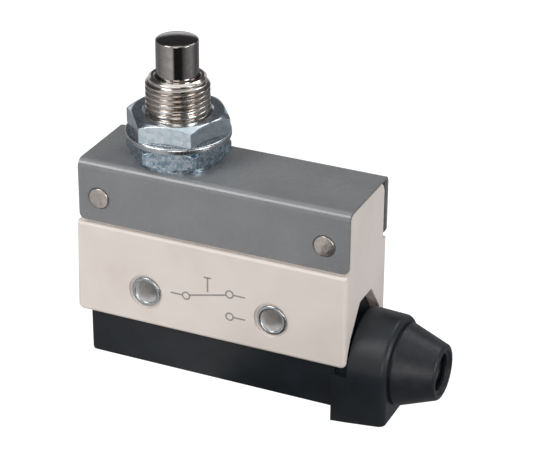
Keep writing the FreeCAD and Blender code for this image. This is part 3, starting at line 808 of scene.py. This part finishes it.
@dataclass
class PlungerSprings:
    """The two coil springs; sizes in mm."""

    wire: float = 0.3
    travel: float = 6.5
    pin_travel: float = 0.33
    return_turns: int = 6
    overtravel_turns: int = 7
    wire_sides: int = 10
    turn_steps: int = 48

    def build(self) -> None:
        """Wind both springs: the return coil rides on the case, the overtravel coil on the plunger."""
        self.coil("return_coil", "return_spring", "case", self.return_turns)
        self.coil("overtravel_coil", "overtravel_spring", "plunger", self.overtravel_turns)

    def coil(self, name: str, node: str, body: str, turns: int) -> None:
        """Wind one spring.

        Args:
            name: The piece's name.
            node: The CAD node it stands for.
            body: The body it rides on.
            turns: Its coils.
        """
        low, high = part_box(node)
        axis = Vector((middle_of(node).x, 0, 0))
        radius = (high.x - low.x) / 2 / MM - self.wire
        length = (high.z - low.z) / MM
        centre = low.z / MM + self.wire
        angles = [math.tau * i / self.wire_sides for i in range(self.wire_sides)]
        section = [(radius + self.wire * math.cos(a), centre + self.wire * math.sin(a)) for a in angles]
        pitch = (length - 2 * self.wire) / turns
        spring = Workpiece.wound(name, section, axis, pitch, turns, self.turn_steps)
        spring.mount(SPRING_WIRE, body, "spring_steel", node, smooth_deg=60)
        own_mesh(spring.obj)


@dataclass
class ContactDiagram:
    """The changeover contact's diagram, printed on the front between the holes; sizes in mm."""

    stroke: float = 0.3
    ring: float = 0.72
    proud: float = 0.02
    buried: float = 0.1
    lead: float = 2.4
    reach: float = 4.4
    spread: float = 2.3
    above_holes: float = 1.2

    def build(self) -> None:
        """Print the three terminals, their leads, the lever and the plunger's line."""
        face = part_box("mount_sleeve_left")[0].y / MM
        level = self.above_holes
        common = (-self.reach, level)
        closed, opened = (self.reach, level + self.spread), (self.reach, level - self.spread)
        rings = [self.terminal(place, face) for place in (common, closed, opened)]
        out = self.ring + self.lead
        button = level + self.spread + self.lead
        pairs = [((common[0] - out, level), (common[0] - self.ring, level)),
                 ((common[0] + self.ring, level + self.stroke),
                  (self.reach - self.ring, closed[1] - self.stroke)),
                 ((0, level + self.spread / 2 + 2 * self.stroke), (0, button)),
                 ((-self.ring, button), (self.ring, button))]
        pairs += [((self.reach + self.ring, end[1]), (self.reach + out, end[1])) for end in (closed, opened)]
        strokes = [self.line(start, end, face) for start, end in pairs]
        diagram = rings[0].join(*rings[1:], *strokes)
        diagram.obj.name = "contact_diagram"
        diagram.mount(GREY_INK, "case", "grey_paint")

    def terminal(self, place: Point, face: float) -> Workpiece:
        """Return a terminal's ring at (x, z), on the face at this y."""
        half = self.stroke / 2
        top, low = face - self.proud, face + self.buried
        inner, outer = self.ring - half, self.ring + half
        outline = [(inner, top), (outer, top), (outer, low), (inner, low), (inner, top)]
        return Workpiece.turned("terminal_ring", outline, Vector((place[0], 0, place[1])) * MM, Y, 40)

    def line(self, start: Point, end: Point, face: float) -> Workpiece:
        """Return a stroke from one (x, z) point to another, on the face at this y."""
        across, up = end[0] - start[0], end[1] - start[1]
        thick = self.proud + self.buried
        middle = Vector(((start[0] + end[0]) / 2, face - self.proud + thick / 2, (start[1] + end[1]) / 2))
        bpy.ops.mesh.primitive_cube_add(
            size=1, location=middle * MM, rotation=(0, -math.atan2(up, across), 0),
            scale=Vector((math.hypot(across, up), thick, self.stroke)) * MM)
        stroke = Workpiece(bpy.context.object, "ink_stroke")
        settle(stroke.obj)
        return stroke


@dataclass
class CableEnd:
    """The black terminal cover and the rubber boot in its end wall; sizes in mm."""

    base: float = 7.85
    tip: float = 5.1
    neck: float = 6.0
    wall: float = 2.0
    lip: float = 1.0
    tuck: float = 0.05
    bore: float = 3.5
    seam: float = 0.4
    rib: float = 0.35
    rib_pitch: float = 1.5
    rib_first: float = 1.2
    rib_slope: float = 0.3
    rib_width: float = 1.1
    rib_count: int = 3

    def build(self) -> None:
        """Build the cover and the boot."""
        cover = Workpiece.from_frame("terminal_cover")
        cover.soften(0.14)
        cover.mount(BLACK_NYLON, "case", "black_plastic", "terminal_cover")
        self.boot()

    def boot(self) -> None:
        """The cone, moulded in one with its neck, its inner lip and the ribs that grip a cable."""
        inside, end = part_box("cable_boot")[0].x / MM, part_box("cable_boot")[1].x / MM
        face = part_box("terminal_cover")[1].x / MM
        back = face - self.wall
        lip, waist, shoulder = self.neck + self.lip, self.base - self.seam, face + self.seam
        corners = [(self.bore, inside, 0), (lip, inside, 0.3), (lip, back, 0), (self.neck, back, 0),
                   (self.neck, face, 0), (waist, face, 0), (waist, shoulder, 0),
                   (self.base - self.tuck, shoulder, 0.15), (self.tip, end, 0.8),
                   (self.bore + 0.75, end, 0.2), (self.bore + 0.55, end - 0.5, 0.1),
                   (self.bore, end - 0.6, 0.1)]
        for index in range(self.rib_count):
            at = end - self.rib_first - index * self.rib_pitch
            crest = self.bore + self.rib
            corners += [(self.bore, at, 0), (crest, at - self.rib_slope, 0.1),
                        (crest, at - self.rib_width + self.rib_slope, 0.1),
                        (self.bore, at - self.rib_width, 0)]
        corners.append((self.bore, inside, 0))
        axis_height = middle_of("cable_boot").z
        boot = Workpiece.turned("cable_boot_cone", rounded(corners), Vector((0, 0, axis_height)), X, 112)
        boot.mount(RUBBER, "case", "black_rubber", "cable_boot")


class SwitchWorks:
    """What the case hides: these pieces keep their CAD shapes."""

    FINISHES = {
        RUBBER: ("plunger_seal", "bush_gasket", "cover_gasket"),
        RIVET_STEEL: ("pin_keeper", "spring_seat"),
        PHENOLIC: ("inner_pin", "chamber_lid"),
        BRASS_STRIP: ("common_terminal", "nc_terminal", "no_terminal"),
        BLADE_COPPER: ("snap_blade",),
        SILVER: ("moving_contact", "nc_contact", "no_contact"),
        ZINC: ("terminal_washers", "terminal_screws"),
    }

    def build(self) -> None:
        """Dress every hidden piece."""
        for finish, nodes in self.FINISHES.items():
            for node in nodes:
                dress_node(node, finish)


# ---------------------------------------------------------------- studio

@dataclass(frozen=True)
class SoftBox:
    """A square area light that looks at the object."""

    name: str
    azimuth: float
    elevation: float
    distance: float
    size: float
    power: float
    tint: str = "ffffff"


@dataclass
class Studio:
    """Floor, lights, surroundings and camera; lengths in metres, angles in degrees."""

    aim: Vector
    azimuth: float = 23.96
    elevation: float = 27.11
    roll: float = 0.46
    distance: float = 0.3782
    lens_mm: float = 135.8
    boxes: tuple[SoftBox, ...] = (
        SoftBox("key", -36, 44, 0.55, 0.26, 1.45),
        SoftBox("front", 18, 14, 0.6, 0.3, 1.1, "fff6f0"),
        SoftBox("right_strip", 78, 18, 0.6, 0.24, 1.5),
        SoftBox("rear", 152, 52, 0.6, 0.2, 0.6),
    )

    def direction(self, azimuth: float, elevation: float) -> Vector:
        """Return the unit vector from the object towards a bearing, azimuth 0 being the front."""
        a, e = math.radians(azimuth), math.radians(elevation)
        return Vector((math.sin(a) * math.cos(e), -math.cos(a) * math.cos(e), math.sin(e)))

    def place(self, data: bpy.types.ID, name: str, azimuth: float, elevation: float,
              distance: float) -> bpy.types.Object:
        """Put a light or camera at a bearing, looking at the aim."""
        obj = bpy.data.objects.new(name, data)
        back = self.direction(azimuth, elevation)
        obj.location = self.aim + back * distance
        obj.rotation_mode = "QUATERNION"
        obj.rotation_quaternion = (-back).to_track_quat("-Z", "Y")
        bpy.context.scene.collection.objects.link(obj)
        return obj

    def build(self) -> None:
        """Set up the whole studio."""
        self.camera()
        for box in self.boxes:
            data = bpy.data.lights.new(box.name, "AREA")
            data.size = box.size
            data.energy = box.power
            data.color = linear(box.tint)[:3]
            self.place(data, box.name, box.azimuth, box.elevation, box.distance)
        self.floor()
        self.surroundings()

    def camera(self) -> None:
        """A long lens at the product's three-quarter view."""
        data = bpy.data.cameras.new("camera")
        data.lens = self.lens_mm
        data.clip_start = 0.01
        data.clip_end = 10
        camera = self.place(data, "camera", self.azimuth, self.elevation, self.distance)
        camera.rotation_quaternion = camera.rotation_quaternion @ Quaternion(Z, math.radians(self.roll))
        bpy.context.scene.camera = camera

    def floor(self) -> None:
        """A pale sweep, white to the lens, that glows to every other ray in painted light and dark bands,
        standing in for white and black cards lying around the object.

        Upright metal mirrors only the floor, so these painted reflections decide its light and dark bands,
        and the same glow paints bounce light on the object. They go by bearing: 0.25 is the front, 0.5 the
        cable end and 0.75 the back.
        """
        bpy.ops.mesh.primitive_plane_add(size=6, location=(0, 0, CAD_BOX[0].z))
        sweep = bpy.context.object
        sweep.name = "floor"
        paper = bpy.data.materials.new("white_paper_sweep")
        paper.use_nodes = True
        tree = paper.node_tree
        tree.nodes.clear()
        place = add_node(tree, "ShaderNodeTexCoord").outputs["Object"]
        bearing = add_node(tree, "ShaderNodeTexGradient", {"gradient_type": "RADIAL"}, {"Vector": place})
        # Painted reflection and painted bounce light: emission by bearing, dark in front and pale at the
        # sides, unseen by the lens.
        painted_reflection_bands = add_node(tree, "ShaderNodeValToRGB", links={0: bearing.outputs["Fac"]},
                         stops=((0.0, "909092"), (0.11, "cacacc"), (0.235, "fafafa"), (0.27, "2c2c2e"),
                                (0.375, "2c2c2e"), (0.458, "9a9a9c"), (0.542, "bcbcbe"), (0.639, "707072"),
                                (0.806, "98989a"), (1.0, "a0a0a2")))
        painted_band_glow = add_node(tree, "ShaderNodeEmission", {"Strength": 0.8}, {"Color": painted_reflection_bands.outputs[0]})
        glow = add_node(tree, "ShaderNodeEmission", {"Color": linear("ffffff"), "Strength": 1.15})
        seen = add_node(tree, "ShaderNodeLightPath").outputs["Is Camera Ray"]
        mix = add_node(tree, "ShaderNodeMixShader", links={0: seen, 1: painted_band_glow.outputs[0], 2: glow.outputs[0]})
        add_node(tree, "ShaderNodeOutputMaterial", links={"Surface": mix.outputs[0]})
        sweep.data.materials.append(paper)

    def surroundings(self) -> None:
        """A white wall around the horizon, a dark room above it, and a small pale ceiling."""
        world = bpy.data.worlds.new("room")
        bpy.context.scene.world = world
        world.use_nodes = True
        tree = world.node_tree
        tree.nodes.clear()
        place = add_node(tree, "ShaderNodeTexCoord").outputs["Generated"]
        height = add_node(tree, "ShaderNodeSeparateXYZ", links={0: place}).outputs["Z"]
        shade = add_node(tree, "ShaderNodeValToRGB", links={0: height},
                         stops=((0.0, "f0f0f2"), (0.16, "dcdcde"), (0.32, "464648"), (0.8, "3a3a3c"),
                                (0.88, "f4f4f6"), (1.0, "ffffff")))
        sky = add_node(tree, "ShaderNodeBackground", {"Strength": 1.0}, {"Color": shade.outputs[0]})
        add_node(tree, "ShaderNodeOutputWorld", links={"Surface": sky.outputs[0]})


def main() -> None:
    """Build the switch and its studio."""
    logging.basicConfig(level=logging.INFO, format="%(name)s: %(message)s")
    bpy.context.scene.view_settings.view_transform = "Standard"
    for assembly in (Casing(), ContactDiagram(), PanelBush(), PushPlunger(), PlungerSprings(), CableEnd(),
                     SwitchWorks()):
        assembly.build()
    Studio(aim=Vector((9.464, 0, 13.991)) * MM).build()


if __name__ == "__main__":
    main()
